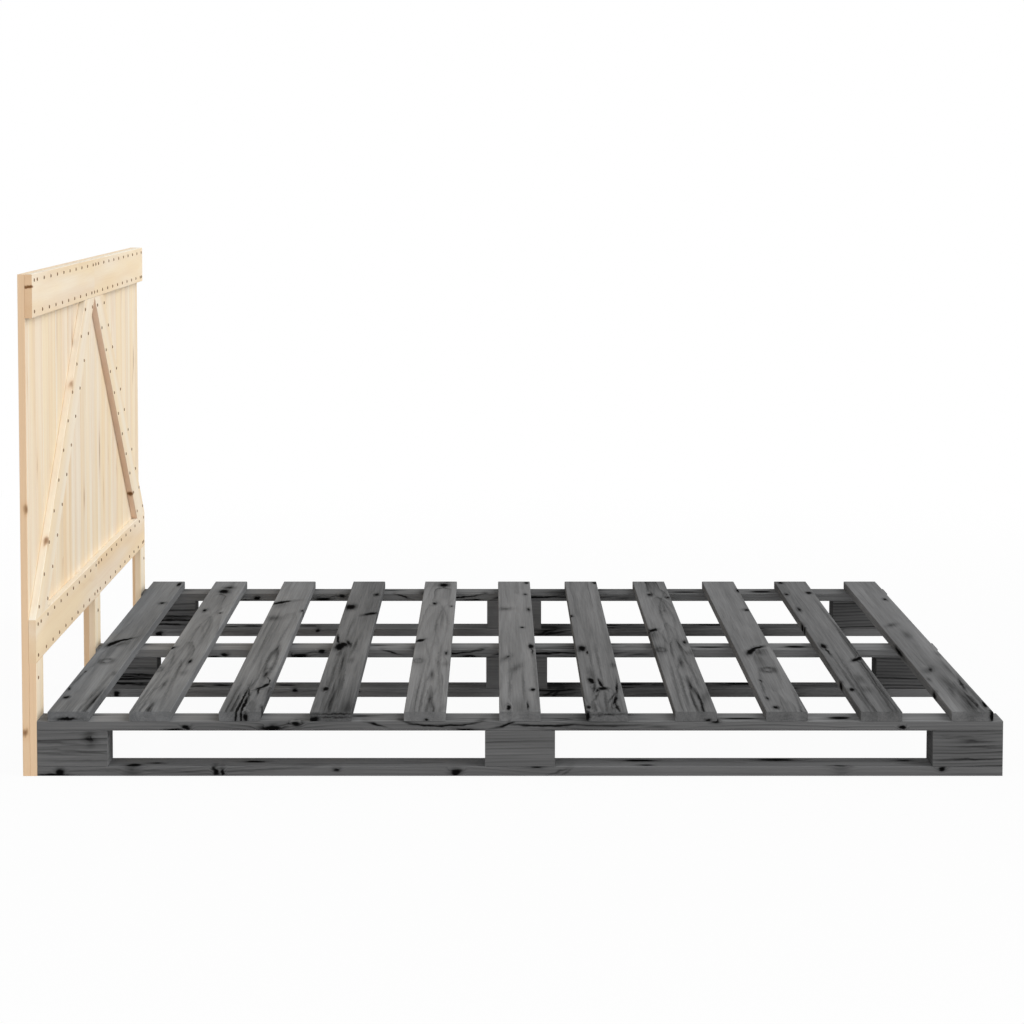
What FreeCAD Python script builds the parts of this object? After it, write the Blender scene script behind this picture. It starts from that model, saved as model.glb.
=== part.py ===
import FreeCAD, Part
import math
import os

# A low pallet bed with a braced plank headboard, in millimetres.
# X runs from the head of the bed to its foot, Y across it from the near side to the far side, Z up.
# The origin lies on the floor, under the middle of the whole bed.

# Pallet base: three rows of bottom board, blocks and stringer, with slats across them
base_length = 2000.0
bed_width = 1800.0
board_width = 86.0  # bottom boards, blocks and stringers
board_thickness = 20.0
board_arris = 2.0  # rounding of the long edges of boards and slats
slat_width = 86.0
slat_thickness = 20.0
block_length = 145.0
block_height = 75.0
block_arris = 1.5
row_names = ("near", "middle", "far")
station_names = ("head", "middle", "foot")
# Middle of each slat along the base, head end first: they are nailed on by eye, a little unevenly.
slat_centre_shares = (
    0.0326, 0.1171, 0.2098, 0.3041, 0.4013, 0.5000, 0.5901, 0.6822, 0.7763, 0.8741, 0.9683,
)

# Headboard: a back layer of upright planks, and a front layer of rails, braces and legs
headboard_height = 1040.0
leg_height = 236.0  # floor to the underside of the panel
plank_width = 90.0
plank_thickness = 15.0
plank_bevel = 1.2  # bevel of the long edges, which makes a fine groove at each joint
edge_strip_width = 30.0  # strips at both ends of the panel, which run down to the floor
rail_width = 90.0
rail_thickness = 15.0  # rails, braces and legs
rail_arris = 1.5
brace_width = 95.0
leg_width = 90.0
middle_strip_width = 60.0  # strip that stiffens the middle leg from behind

# Flanged bolts that hold the headboard's legs to the blocks at the head end
bolt_head_across = 13.0
bolt_head_height = 5.0
bolt_flange_radius = 8.5
bolt_flange_thickness = 1.6
bolt_shank_radius = 4.0
bolt_shank_length = 46.0
bolt_point_length = 5.0
bolt_recess = 1.4  # depth of the bolts' heads below the back of the middle leg
bolt_height_shares = (0.3, 0.7)  # up the height of the blocks
hole_clearance = 0.2  # room round each bolt
cut_overrun = 1.0

edge_limit_share = 0.4  # a rounding or bevel takes at most this much of the thinnest side
parallel_share = 0.99  # cosine above which an edge counts as running along the grain
rip_share = 0.001  # a last plank narrower than this share of a plank is left out

# Places that follow from the sizes
back_face = -(base_length + plank_thickness + rail_thickness) / 2
plank_face = back_face + plank_thickness
head_end = plank_face + rail_thickness
near_side = -bed_width / 2
far_side = bed_width / 2
block_bottom = board_thickness
stringer_bottom = block_bottom + block_height
slat_bottom = stringer_bottom + board_thickness
lower_rail_top = leg_height + rail_width
top_rail_bottom = headboard_height - rail_width
panel_start = near_side + edge_strip_width
panel_width = bed_width - 2 * edge_strip_width

along_x = FreeCAD.Vector(1, 0, 0)
along_y = FreeCAD.Vector(0, 1, 0)
along_z = FreeCAD.Vector(0, 0, 1)

nodes = {}


def edges_along(solid, grain):
    """The straight edges of a solid that run along its grain."""
    return [
        edge for edge in solid.Edges
        if abs(edge.tangentAt(edge.FirstParameter).dot(grain)) > parallel_share
    ]


def rounded(solid, grain, arris, thinnest):
    """The solid with its edges along the grain rounded."""
    return solid.makeFillet(min(arris, thinnest * edge_limit_share), edges_along(solid, grain))


def bevelled(solid, grain, bevel, thinnest):
    """The solid with its edges along the grain bevelled."""
    return solid.makeChamfer(min(bevel, thinnest * edge_limit_share), edges_along(solid, grain))


def board(corner, size, grain, arris):
    """A planed board with square-sawn ends, from its lowest corner and its three sides."""
    blank = Part.makeBox(*size, FreeCAD.Vector(*corner))
    return rounded(blank, grain, arris, min(size))


def upright(start, bottom, width, top):
    """A plank or strip of the headboard's back layer, with bevelled long edges."""
    size = (plank_thickness, width, top - bottom)
    blank = Part.makeBox(*size, FreeCAD.Vector(back_face, start, bottom))
    return bevelled(blank, along_z, plank_bevel, min(size))


def bolt(seat):
    """A flanged hexagon bolt along X, with the underside of its flange at seat."""
    flange_start = seat - along_x * bolt_flange_thickness
    head_start = flange_start - along_x * bolt_head_height
    corner_radius = bolt_head_across / math.sqrt(3)
    corners = []
    for corner in range(7):
        turn = corner * math.pi / 3
        outward = FreeCAD.Vector(0, math.cos(turn), math.sin(turn))
        corners.append(head_start + outward * corner_radius)
    head = Part.Face(Part.makePolygon(corners)).extrude(along_x * bolt_head_height)
    flange = Part.makeCylinder(bolt_flange_radius, bolt_flange_thickness, flange_start, along_x)
    shank = Part.makeCylinder(bolt_shank_radius, bolt_shank_length, seat, along_x)
    shank_end = seat + along_x * bolt_shank_length
    point = Part.makeCone(bolt_shank_radius, 0, bolt_point_length, shank_end, along_x)
    return head.fuse([flange, shank, point]).removeSplitter()


def bolt_hole(seat):
    """The room for a bolt: a counterbore open to the back, and a pilot hole past its point."""
    bore_depth = plank_thickness + cut_overrun
    mouth = seat - along_x * bore_depth
    pilot_depth = bore_depth + bolt_shank_length + bolt_point_length + hole_clearance
    bore = Part.makeCylinder(bolt_flange_radius + hole_clearance, bore_depth, mouth, along_x)
    pilot = Part.makeCylinder(bolt_shank_radius + hole_clearance, pilot_depth, mouth, along_x)
    return bore.fuse(pilot)


def drilled(solid, seats):
    """The solid with a bolt hole at every seat."""
    return solid.cut([bolt_hole(seat) for seat in seats]).removeSplitter()


def row_starts(width):
    """The near side of three boards of this width: at the near side, the middle and the far side."""
    return (near_side, -width / 2, far_side - width)


def station_starts():
    """The head-side face of the three blocks along a row."""
    spare = base_length - block_length
    return (head_end, head_end + spare / 2, head_end + spare)


def bolt_seats():
    """For each leg, where its bolts bear: beside the edge strips, or inside the middle leg's strip."""
    side_reach = (leg_width + edge_strip_width) / 2
    middle_seat = back_face + bolt_recess + bolt_head_height + bolt_flange_thickness
    places = (
        (plank_face, near_side + side_reach),
        (middle_seat, 0),
        (plank_face, far_side - side_reach),
    )
    heights = [block_bottom + share * block_height for share in bolt_height_shares]
    return [[FreeCAD.Vector(x, y, z) for z in heights] for x, y in places]


def build_rows():
    """The bottom boards, blocks and stringers of the base."""
    board_size = (base_length, board_width, board_thickness)
    block_size = (block_length, board_width, block_height)
    for row, start, seats in zip(row_names, row_starts(board_width), bolt_seats()):
        nodes[f"bottom_board_{row}"] = board((head_end, start, 0), board_size, along_x, board_arris)
        for station, place in zip(station_names, station_starts()):
            block = board((place, start, block_bottom), block_size, along_x, block_arris)
            at_head = station == station_names[0]
            nodes[f"block_{row}_{station}"] = drilled(block, seats) if at_head else block
        nodes[f"stringer_{row}"] = board(
            (head_end, start, stringer_bottom), board_size, along_x, board_arris
        )


def build_slats():
    """The slats that carry the mattress, from side to side of the bed."""
    for number, share in enumerate(slat_centre_shares, 1):
        start = head_end + share * base_length - slat_width / 2
        nodes[f"slat_{number:02d}"] = board(
            (start, near_side, slat_bottom),
            (slat_width, bed_width, slat_thickness),
            along_y,
            board_arris,
        )


def build_panel():
    """The back layer: edge strips from floor to top, planks between them, the last one ripped to fit."""
    nodes["edge_strip_near"] = upright(near_side, 0, edge_strip_width, headboard_height)
    nodes["edge_strip_far"] = upright(
        far_side - edge_strip_width, 0, edge_strip_width, headboard_height
    )
    plank_count = math.ceil(panel_width / plank_width - rip_share)
    for number in range(plank_count):
        reach = number * plank_width
        width = min(plank_width, panel_width - reach)
        nodes[f"plank_{number + 1:02d}"] = upright(
            panel_start + reach, leg_height, width, headboard_height
        )


def build_rails():
    """The top and lower rails, each in two lengths that butt on the middle of the headboard."""
    rail_size = (rail_thickness, bed_width / 2, rail_width)
    for level, bottom in (("top", top_rail_bottom), ("lower", leg_height)):
        for side, start in (("near", near_side), ("far", 0)):
            nodes[f"{level}_rail_{side}"] = board(
                (plank_face, start, bottom), rail_size, along_y, rail_arris
            )


def brace_foot_length():
    """The length of a brace's level end cuts, which leaves it brace_width wide across its grain."""
    rise = top_rail_bottom - lower_rail_top
    half = bed_width / 2
    square = brace_width ** 2
    slack = rise ** 2 - square
    root = math.sqrt((square * half) ** 2 + slack * square * (rise ** 2 + half ** 2))
    return (root - square * half) / slack


def build_braces():
    """Two braces from the lower rail's outer ends to the top rail's middle, cut level at both ends."""
    foot = brace_foot_length()
    for side, outer_end, inward in (("near", near_side, 1), ("far", far_side, -1)):
        corners = [
            FreeCAD.Vector(plank_face, outer_end, lower_rail_top),
            FreeCAD.Vector(plank_face, outer_end + inward * foot, lower_rail_top),
            FreeCAD.Vector(plank_face, 0, top_rail_bottom),
            FreeCAD.Vector(plank_face, -inward * foot, top_rail_bottom),
        ]
        outline = Part.makePolygon(corners + corners[:1])
        blank = Part.Face(outline).extrude(along_x * rail_thickness)
        grain = (corners[2] - corners[1]).normalize()
        nodes[f"brace_{side}"] = rounded(blank, grain, rail_arris, rail_thickness)


def build_legs():
    """Three legs under the lower rail, bolted to the base, and the strip behind the middle one."""
    leg_size = (rail_thickness, leg_width, leg_height)
    for row, start, seats in zip(row_names, row_starts(leg_width), bolt_seats()):
        leg = board((plank_face, start, 0), leg_size, along_z, rail_arris)
        nodes[f"leg_{row}"] = drilled(leg, seats)
    strip = upright(-middle_strip_width / 2, 0, middle_strip_width, leg_height)
    nodes["leg_middle_strip"] = drilled(strip, bolt_seats()[1])
    nodes["headboard_bolts"] = Part.makeCompound(
        [bolt(seat) for seats in bolt_seats() for seat in seats]
    )


build_rows()
build_slats()
build_panel()
build_rails()
build_braces()
build_legs()

os.makedirs("parts", exist_ok=True)
for name, solid in nodes.items():
    solid.exportStep(f"parts/{name}.step")
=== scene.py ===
"""A low pallet bed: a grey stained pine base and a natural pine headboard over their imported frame."""

import math
import random
from dataclasses import dataclass

import bmesh
import bpy
from mathutils import Matrix, Vector


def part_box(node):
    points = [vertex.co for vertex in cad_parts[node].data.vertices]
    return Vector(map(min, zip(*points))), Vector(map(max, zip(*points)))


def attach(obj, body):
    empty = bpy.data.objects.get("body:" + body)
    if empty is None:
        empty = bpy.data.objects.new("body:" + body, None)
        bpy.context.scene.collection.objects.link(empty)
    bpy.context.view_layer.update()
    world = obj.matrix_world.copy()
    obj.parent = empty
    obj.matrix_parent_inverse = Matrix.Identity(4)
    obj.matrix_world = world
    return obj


bl_info = {
    "name": "Pallet bed",
    "version": (1, 0, 0),
    "blender": (4, 5, 0),
    "location": "View3D > Sidebar > Pallet bed",
    "description": "Finishes a pallet bed: stained and natural pine, nails, bolts and a plain studio",
    "category": "Object",
}

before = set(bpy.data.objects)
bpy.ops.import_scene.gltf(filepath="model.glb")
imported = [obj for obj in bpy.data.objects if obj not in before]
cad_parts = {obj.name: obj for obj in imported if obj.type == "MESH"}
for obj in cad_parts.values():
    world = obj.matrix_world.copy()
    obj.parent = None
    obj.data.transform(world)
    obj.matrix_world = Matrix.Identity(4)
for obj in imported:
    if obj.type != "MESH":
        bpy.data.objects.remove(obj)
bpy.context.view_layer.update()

MM = 0.001
ENDLESS = 1000.0  # reach, in metres, of a mark that goes right through its board
ALONG_X = Vector((1, 0, 0))
ALONG_Y = Vector((0, 1, 0))
ALONG_Z = Vector((0, 0, 1))
ROWS = ("near", "middle", "far")
STATIONS = ("head", "middle", "foot")

# Marks on the wide faces of the boards, in millimetres from the board's middle: place along and across
# the grain, half length, half width, turn in degrees, bend of both ends across the grain, strength.
# Some slats are cut from like timber, so they share a pattern of marks, which is shifted on each.
SLAT_MARKS = {
    "cracked": (
        (528, 25, 16, 7, 0, 0, 0.88), (846, 33, 24, 5, 0, 0, 1.0), (-72, -18, 46, 8, 15, 3, 1.0),
        (-28, 0, 26, 8.5, 30, 0, 1.0), (-88, 0, 34, 9, 8, 0, 0.74), (-190, -10, 78, 7, 0, 0, 0.60),
        (-745, -28, 14, 5.5, 0, 0, 0.96), (-646, -36, 18, 2.6, 0, 0, 0.84), (-500, -33, 66, 2.2, 2, 0, 0.72),
        (-445, -31, 16, 2.6, 0, 0, 0.84), (-376, -26, 56, 2.2, 3, 0, 0.58), (-775, 36, 80, 3.6, 2, 0, 0.74),
        (-870, 32, 50, 3, 0, 0, 0.66), (-760, 23, 150, 2.2, 1.5, 0, 0.60), (-466, 36, 20, 3.4, 0, 0, 0.68),
        (-287, 3, 12, 5, 0, 0, 0.78), (-334, -5, 8, 4, 0, 0, 0.78),
    ),
    "arched": (
        (835, 9, 30, 11, 0, 0, 1.0), (900, 17, 20, 12, 0, 0, 0.84), (522, -9, 20, 5, 0, 0, 0.92),
        (478, 35, 14, 4, 0, 0, 0.88), (-35, -31, 22, 8, 15, 0, 1.0), (-95, -34, 42, 10, 0, 0, 0.60),
        (-207, 33, 24, 4, 0, 0, 0.88), (-350, 33, 18, 6, 0, 0, 0.60), (-765, 8, 56, 3.4, 0, 0, 0.78),
        (-900, 2.5, 140, 2.6, 0.8, 4, 0.70), (-905, 18, 140, 2.8, -1, -5, 0.78),
        (-740, -9, 180, 2.4, 0.6, 0, 0.70), (-530, -3, 54, 2.2, 7, 0, 0.66), (-480, 6, 46, 3.8, 0, 0, 0.76),
        (-570, 23.5, 170, 2.4, -1.5, 0, 0.64), (-300, 18, 150, 2.4, -0.5, 3, 0.64),
        (-660, -21, 250, 2.2, 1, 0, 0.60), (-250, -3, 170, 2.2, 1, 0, 0.60),
        (-130, -14, 130, 2.2, -4, 0, 0.56), (300, 15, 60, 2.6, 0, 0, 0.64), (260, 3, 170, 2.2, 2, 6, 0.60),
        (250, 28, 160, 2.2, -2, -5, 0.60), (-880, 31, 44, 6, 8, 0, 0.60), (-285, -26, 14, 6, 0, 0, 0.74),
        (-330, -29, 10, 5, 0, 0, 0.70), (-308, -29, 36, 11, 0, 0, 0.66),
    ),
    "eyed": (
        (537, -24, 34, 12, 30, 4, 1.0), (288, -22, 24, 12, 0, 0, 0.7), (406, 41, 16, 4, 0, 0, 0.85),
        (500, -20, 36, 12, 10, 0, 0.64),
        (-775, -5, 140, 2, 0.4, 0, 0.92), (-830, 3.5, 84, 2.8, 0.6, 0, 1.0), (-700, 2, 60, 1.9, -5, 0, 0.84),
        (-860, -17, 66, 4, 0, 0, 0.62), (-752, -16, 40, 3, 0, 0, 0.62), (-672, 19.5, 30, 2.2, -2, 0, 0.92),
        (-630, 24, 30, 5.4, 22, 0, 0.94), (-604, 31, 17, 5.6, 10, 0, 1.0), (-560, 35, 28, 2, -2, -3, 0.88),
        (-520, 28, 28, 2, -14, 0, 0.76), (-478, 20.5, 46, 4.6, 0, 0, 0.84), (-155, 19.5, 54, 3.6, 0, 0, 0.76),
        (-855, 42, 34, 4, 0, 0, 0.8), (-480, 5, 110, 2.2, 1, 0, 0.62), (-600, 0, 60, 1.9, 6, 0, 0.68),
        (-340, -3, 100, 2, -2, 0, 0.56), (60, 20, 130, 2.2, 1, 0, 0.60), (-120, -18, 200, 2.2, 0.5, 0, 0.56),
        (-660, -27, 150, 2.4, 0.5, 0, 0.58),
    ),
    "lined": (
        (465, -27, 34, 10, 0, 0, 1.0), (-115, -24, 40, 10, 4, 0, 1.0), (-90, -16, 24, 7, -8, 0, 0.98),
        (-142, -24, 26, 6, 0, 0, 1.0), (-20, -34, 54, 2.8, -4, 0, 1.0), (-72, -6, 34, 4, -10, 0, 0.82),
        (-200, -20, 54, 3.4, 0, 0, 0.68), (-430, -20, 250, 3.2, 0, 0, 0.60), (-650, -25, 18, 5.4, 0, 0, 1.0),
        (-780, -5, 130, 3, 2, 0, 0.54), (-540, 0, 140, 3.2, -2, 0, 0.56), (-350, -6, 100, 2.6, 0, 0, 0.62),
        (-780, -12, 140, 2.4, 1, 0, 0.60), (-560, 6, 100, 2.2, -1, 0, 0.64),
        (-105, 11, 84, 2.8, 1.5, 0, 0.68), (-300, 12, 24, 5, 0, 0, 0.58), (-860, 36, 64, 8, 0, 0, 0.54),
        (356, 27, 24, 9, 35, 0, 0.95), (668, 29, 18, 5, 0, 0, 0.85), (110, -14, 120, 2.4, 1, 0, 0.56),
    ),
    "spotted": (
        (874, 33, 14, 5, 0, 0, 1.0), (673, 28, 15, 4, 0, 0, 0.85), (435, -25, 20, 13, 8, 0, 0.74),
        (424, 34, 26, 4, 0, 0, 0.85), (149, 16, 13, 4, 0, 0, 0.95), (-118, 33, 30, 5.6, 0, 0, 1.0),
        (-180, 35, 56, 2.6, -1, 0, 0.84), (-272, -26, 34, 6.5, 10, 0, 0.70),
        (-256, -21.5, 17, 3.4, 6, 0, 0.82),
        (-398, -4, 40, 7, 12, 0, 0.66), (-657, 30, 16, 5, 0, 0, 1.0), (-858, -23, 27, 4.2, 0, 0, 1.0),
        (-872, -3, 56, 10, 0, 0, 0.56), (-640, 10, 110, 2, 0, 0, 0.58),
        (-620, -19.5, 100, 2, 0, 0, 0.58), (-500, -16, 70, 2, 3, 0, 0.58), (699, 89, 18, 6, 0, 0, 1.0),
        (-294, 86, 22, 7.5, 20, 0, 1.0), (-270, 96, 18, 5, 25, 0, 0.92), (-655, 62, 24, 8, 0, 0, 0.60),
        (-530, 65, 38, 5.5, 0, 0, 0.64), (-560, 87, 300, 2.2, 0.6, 0, 0.62), (-600, 95, 270, 2.2, 0, 0, 0.62),
        (60, 97, 300, 2.2, -0.6, 0, 0.62), (-520, 38, 260, 2.2, 0, 0, 0.60),
        (-560, 49, 240, 2.2, 0.5, 0, 0.60),
    ),
    "wavy": (
        (874, 37, 16, 5, 0, 0, 1.0), (322, -41, 16, 4, 0, 0, 0.95), (-148, -28, 33, 7.5, 0, 0, 1.0),
        (-200, -18, 20, 2.8, 0, 0, 0.88), (-365, 37, 22, 5, 0, 0, 0.66), (-555, -20.5, 31, 5.2, -3, 0, 1.0),
        (-645, 1, 13, 8.5, 10, 0, 0.98), (-664, -11, 22, 3, 4, 0, 0.88), (-590, -2, 52, 2.4, -6, 2, 0.92),
        (-640, -17, 54, 2.4, 4, 0, 0.70), (-855, 23.5, 54, 2.6, -3, 0, 0.86), (-775, 22, 44, 3, 6, 0, 0.94),
        (-735, 19, 60, 2.2, 11, 0, 0.74), (-640, 31.5, 62, 2.2, 2, 0, 0.88),
        (-860, -23.5, 64, 2.6, 0, 0, 0.74),
        (-755, -19, 50, 2.6, 8, 0, 0.70), (-850, -36, 16, 4, 0, 0, 0.84), (-480, -16, 62, 6, 0, 0, 0.68),
        (-300, -13, 150, 2.2, 0, 0, 0.60), (-800, 2, 110, 2.2, 1, 0, 0.62), (-340, 3.5, 170, 2.2, 0, 0, 0.60),
    ),
    "streaked": (
        (589, 26, 18, 5, 0, 0, 0.92), (183, -15, 22, 8, 20, 0, 0.74), (40, 4, 34, 8, 4, 0, 0.62),
        (-418, -13, 25, 5, 8, 0, 0.82), (-428, -20, 24, 7, 12, 0, 0.62), (-540, -34, 15, 2.8, 0, 0, 0.68),
        (-595, 0, 56, 5, -1, 0, 0.66), (-665, -5, 44, 4, 3, 0, 0.64), (-810, 20, 78, 2.2, -1, 0, 0.68),
        (-585, 28.5, 58, 3.2, 3, 0, 0.82), (-420, 27, 66, 4, 0, 0, 0.62), (-825, 37.5, 26, 3.4, 3, 0, 1.0),
        (-222, 36, 20, 3.4, 0, 0, 0.70), (-790, 4, 110, 4, 0, 0, 0.54), (-700, 34, 110, 2.4, 0, 0, 0.62),
        (-870, -4, 60, 5, 0, 0, 0.58),
    ),
}
# Pale knots that show as a ring: place along and across, half length, half width, thickness, strength.
SLAT_RINGS = {
    "cracked": ((-312, -3, 26, 12, 0.50, 0.70),),
    "arched": ((-308, -29, 24, 9, 0.55, 0.71),),
    "eyed": ((-332, 20, 150, 8.8, 0.38, 0.72),),
}
# Where the heart of the tree lies: across and through the board, lean out of the face, width of the
# rings, strength of the rings. Through counts down from the middle of the slat.
SLAT_HEARTS = {
    "cracked": (-6, 60, 0.0, 1.3, 0.7),
    "arched": (8, 27, -0.04, 1.5, 0.8),
    "eyed": (18, 44, -0.01, 1.2, 0.9),
    "lined": (14, 50, 0.012, 1.2, 0.6),
    "spotted": (10, 64, 0.0, 1.3, 0.7),
    "wavy": (-4, 46, 0.01, 1.3, 0.8),
    "streaked": (6, 50, 0.0, 1.2, 0.8),
}
# For each slat, head end first: its pattern, the shift of the pattern along and across, its tone.
SLATS = (
    ("cracked", 0, 0, 0.63), ("arched", -110, -13, 0.68), ("eyed", 0, 0, 0.63), ("lined", 0, 0, 0.47),
    ("arched", 0, 0, 0.73), ("spotted", 0, 0, 0.66), ("wavy", 0, 0, 0.56), ("arched", 145, 0, 0.55),
    ("cracked", -110, 9, 0.56), ("spotted", 0, -61, 0.51), ("streaked", 0, 0, 0.64),
)
# Figure in the grain: place along and across, half length, half width and lift of the growth rings,
# all in millimetres, then how much bolder the rings and how much darker the wood get there.
SLAT_FIGURES = {
    "cracked": ((-760, 30, 260, 18, -4, 0.6, 0.04),),
    "arched": (
        (-700, 6, 520, 34, 0, 0.3, 0.0), (250, 12, 400, 34, 0, 0.4, 0.0),
        (780, 6, 220, 40, -8, 0.5, 0.10),
    ),
    "eyed": ((-800, -6, 420, 70, 0, 0.15, 0.12), (-330, 20, 260, 24, -6, 0.3, 0.0)),
    "lined": ((-560, -8, 480, 22, 0, 0.1, 0.03), (-880, 0, 200, 50, 0, 0.1, 0.03)),
    "spotted": ((-300, 94, 640, 22, 0, 0.5, 0.05), (-760, 8, 300, 26, 0, 0.3, 0.0)),
    "wavy": ((-790, 12, 260, 34, -6, 0.4, 0.03), (-600, -4, 150, 34, -5, 0.4, 0.03)),
    "streaked": (
        (-700, 24, 330, 26, -5, 0.25, 0.05), (-860, 10, 260, 60, 0, 0.2, 0.07),
        (-450, 0, 420, 200, 0, 0.1, 0.11),
    ),
}
SLAT_END_FIGURE = (-900, 0, 460, 200, 0, 0.15, 0.06)
SLAT_COOLING = 0.008  # how much cooler each slat is stained than the next one, near the headboard
FIRST_PLAIN_SLAT = 5  # the first slat that isn't stained cooler
SLAT_SWAY = 0.3  # how far the grain of the slats wanders
SLAT_EDGE_SHARE = 0.6  # how much of the sides' own stain the edges and ends of the slats take
# Marks on the ends and sides of the slats: place along, across and through the board,
# half sizes along, across and through, strength. Through counts down from the middle.
SLAT_EDGE_MARKS = {
    1: ((-900, -3, 5, 22, 18, 3, 1.0),),
    3: ((-900, 12, 2, 14, 4, 8, 1.0), (-900, -8, 0, 40, 2, 14, 0.95), (-900, 3, 0, 40, 2, 14, 0.95),
        (-690, 43, 4, 150, 4, 24, 0.72)),
    4: ((-900, -34, 6, 16, 8, 5, 1.0), (-900, 6, -5, 10, 40, 1.6, 0.72), (-900, 6, 2, 10, 40, 1.4, 0.66)),
    5: ((-900, 4, 7, 12, 4, 3, 0.95),),
    6: ((-838, 17, -8, 32, 2, 12, 0.88),),
    7: ((-900, -40, 0, 14, 4, 9, 1.0), (-900, 8, -4, 10, 34, 1.6, 0.70)),
    8: ((-900, 24, 8, 12, 5, 3, 0.95),),
    10: ((-570, -43, 0, 22, 5, 7, 1.0), (200, -43, 0, 20, 5, 8, 1.0)),
    11: ((-900, 40, 0, 16, 4, 11, 1.0), (-140, -43, 0, 60, 4, 5, 0.95), (-672, -43, 0, 20, 4, 8, 0.9)),
}
# Marks on the long boards of the three rows: on the wide faces as above, and on the fronts by
# place along and up from the board's middle, half length, half height, turn, bend, strength.
STRINGER_MARKS = (
    (459, -14, 32, 8, 0, 0, 1.0), (665, -9, 24, 14, 0, 0, 1.0), (-330, 12, 24, 7, 0, 0, 0.85),
    (-890, 20, 20, 6, 0, 0, 0.75), (210, 24, 22, 6, 0, 0, 0.85), (-560, 26, 26, 7, 10, 0, 0.85),
    (110, -30, 90, 3, 1, 0, 0.75), (90, -12, 70, 3, 0, 0, 0.7),
)
STRINGER_FRONTS = (
    (-717, -7, 14, 1.8, 0, 0, 0.95), (-691, -3, 8, 4, 0, 0, 1.0), (-513, -5, 17, 4.5, 0, 0, 1.0),
    (-463, 4, 8, 4, 0, 0, 1.0), (-488, 2, 24, 1.5, 10, 0, 0.75), (-298, 3, 17, 1.9, -15, 0, 0.92),
    (-160, 0, 78, 1.7, 0, 9, 0.94), (-112, -7, 20, 2.2, 0, 0, 0.98), (-30, 3, 21, 2.4, 17, 0, 0.95),
    (50, 0.5, 62, 2.1, 0, 2, 0.96), (175, 1.5, 64, 1.4, 0, 0, 0.75), (289, -2, 15, 2.5, 0, 0, 0.66),
    (791, -2.5, 5.5, 3.6, 0, 0, 1.0), (404, 9, 8, 3, 0, 0, 0.95),
)
STRINGER_FIGURES = (
    (-150, -30, 240, 40, 10, 0.7, 0.06), (150, 0, 190, 300, 10, 0.7, 0.20),
    (-500, -34, 150, 34, 9, 0.6, 0.04), (420, 0, 260, 200, 0, 0.2, 0.06),
    (-840, 0, 220, 200, 0, 0.0, -0.07), (930, 0, 200, 200, 0, 0.0, 0.03),
)
# Tone of each row's stringer, and how much of the sides' own stain its front takes. The middle and far fronts
# take little of that darker stain, so they are painted lighter against the shade under the slats.
STRINGER_TONES = {"near": (0.67, 1.0), "middle": (0.65, 0.1), "far": (0.54, 0.1)}
BOTTOM_MARKS = (
    (-803, -29, 14, 12, 0, 0, 1.0), (-759, -9, 16, 6, 0, 0, 0.95), (-552, 5, 22, 8, 0, 0, 1.0),
    (251, 15, 34, 9, 0, 0, 1.0), (261, -29, 14, 6, 0, 0, 0.95), (535, 22, 34, 10, 0, 0, 1.0),
    (662, -36, 14, 5, 0, 0, 0.9), (804, 17, 18, 7, 0, 0, 0.86),
)
BOTTOM_FRONTS = (
    (-951, -3, 9, 7.5, 0, 0, 1.0), (-632, 0, 5, 8.5, 0, 0, 1.0), (-618, -2, 4, 8, 0, 0, 0.96),
    (-379, 3, 7, 3, 0, 0, 0.92), (32, 9, 14, 2.5, 0, 0, 0.88), (80, 0, 16, 1.6, 20, 0, 0.75),
    (92, -3, 14, 1.5, 35, 0, 0.68), (874, 5, 7, 4.5, 0, 0, 1.0), (-820, 3, 110, 1.5, 0, -3, 0.66),
    (-560, 2, 120, 1.5, 2, 3, 0.60),
)
# Tones of the bottom boards. The middle and far ones are lighter: painted light against the shade under the
# slats.
BOTTOM_TONES = {"near": 0.71, "middle": 0.90, "far": 0.90}
NEAR_BOTTOM_FRONTS = ((-134, -2.5, 10, 6.5, 0, 0, 1.0), (-966, -8, 30, 2.9, 0, 0, 1.0))
SHADED_BOTTOM_FRONTS = ((-528, 5.5, 7, 4, 0, 0, 1.0),)
SHADED_BOTTOM_MARKS = ((-705, 4, 26, 10, 0, 0, 0.96),)
BOTTOM_FIGURES = (
    (-700, -30, 240, 40, 9, 0.6, 0.03), (60, -30, 210, 40, 11, 0.6, 0.03), (660, 0, 300, 40, 7, 0.4, 0.03),
    (180, 0, 340, 200, 0, 0.0, -0.10), (930, 0, 200, 200, 0, 0.0, 0.07),
)
# Figure in the grain of the middle and far bottom boards, in the columns above. Their darkness is painted
# shadow of the middle block and the slats.
FIGURES_WITH_PAINTED_SHADOW = (
    (95, 0, 120, 300, 4, 0.7, 0.70), (330, 0, 260, 300, 0, 0.5, 0.44), (620, 0, 380, 300, 0, 0.3, 0.24),
    (-135, 0, 110, 200, 4, 0.4, 0.14),
)
HEAD_BLOCK_LINES = (
    (0, -3, 70, 1.7, 0, 0, 0.95), (10, -14, 60, 2.4, 1, 0, 1.0), (-10, -25, 60, 2, -1, 0, 0.96),
    (20, -9, 40, 1.5, 1, 0, 0.84), (0, 14, 70, 1.5, 0, 0, 0.70),
)
BLOCK_FRONTS = {
    "block_near_head": (
        (37, 20, 9, 11, 0, 0, 0.80), (42, 21, 2.9, 8, 0, 0, 0.84), (-30, 12, 44, 1.7, -3, 0, 0.64),
        (0, -4, 70, 1.7, -4, -3, 0.66), (-20, -12, 56, 1.6, -3, 0, 0.60), (20, -26, 60, 1.6, 0, 0, 0.58),
    ),
    "block_near_foot": (
        (10, 16, 24, 2.6, 0, 0, 0.78), (0, -22, 38, 2, 0, 0, 0.80), (30, 4, 34, 1.8, 0, 0, 0.74),
        (-20, 24, 36, 1.7, 0, 0, 0.70),
    ),
    "block_middle_head": HEAD_BLOCK_LINES,
    "block_far_head": HEAD_BLOCK_LINES,
}
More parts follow.
